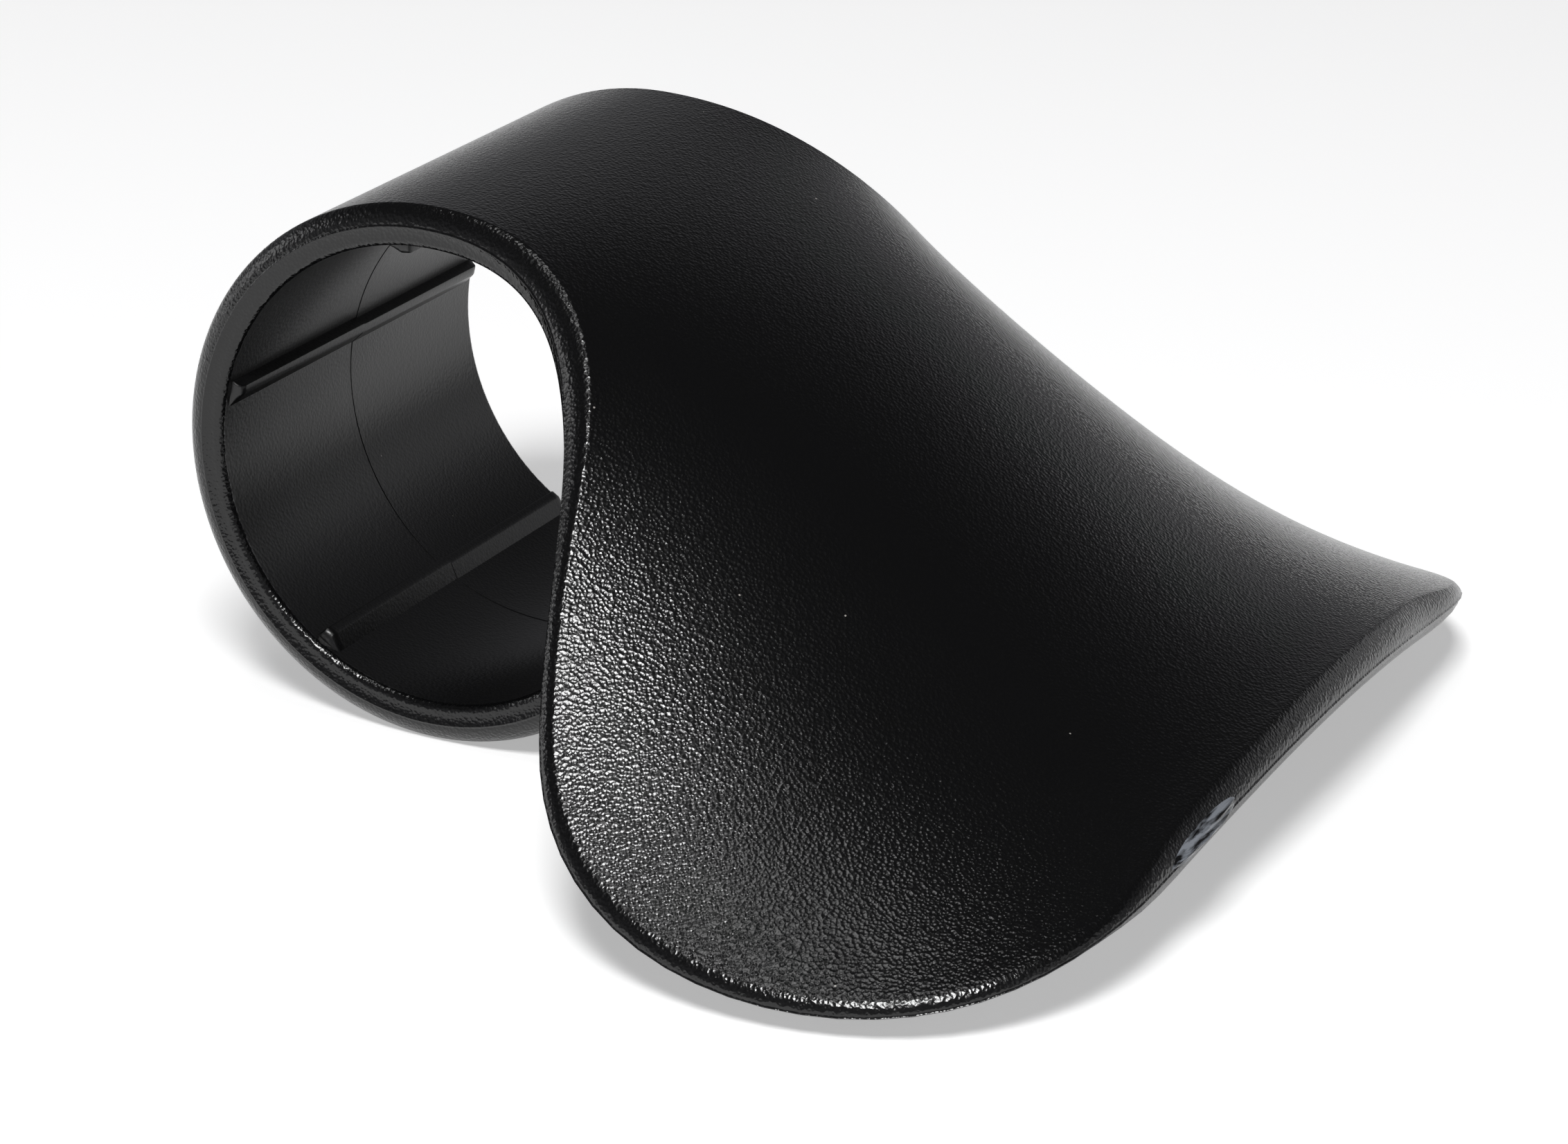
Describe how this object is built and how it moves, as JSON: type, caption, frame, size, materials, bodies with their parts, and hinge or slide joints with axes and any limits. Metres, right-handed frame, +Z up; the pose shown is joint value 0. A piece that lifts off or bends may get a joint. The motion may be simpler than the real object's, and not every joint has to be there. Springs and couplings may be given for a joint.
{
  "type": "throttle assist palm rest",
  "caption": "Clip-on throttle assist: an open sprung ring that grips a handlebar grip, flowing into a wide flared paddle for the palm. One moulded piece.",
  "frame": {"origin": "on the surface it stands on, under the middle of the part's box", "axes": "+Y along the ring's axis, +X from the ring towards the paddle's front edge, +Z up, with the ring and the paddle's front corners on z = 0"},
  "size_m": [0.0796, 0.0926, 0.0388],
  "materials": {
    "black_plastic": "satin black, fine spark-eroded grain"
  },
  "bodies": {
    "root": {"clip_and_paddle": "black_plastic"}
  },
  "joints": []
}
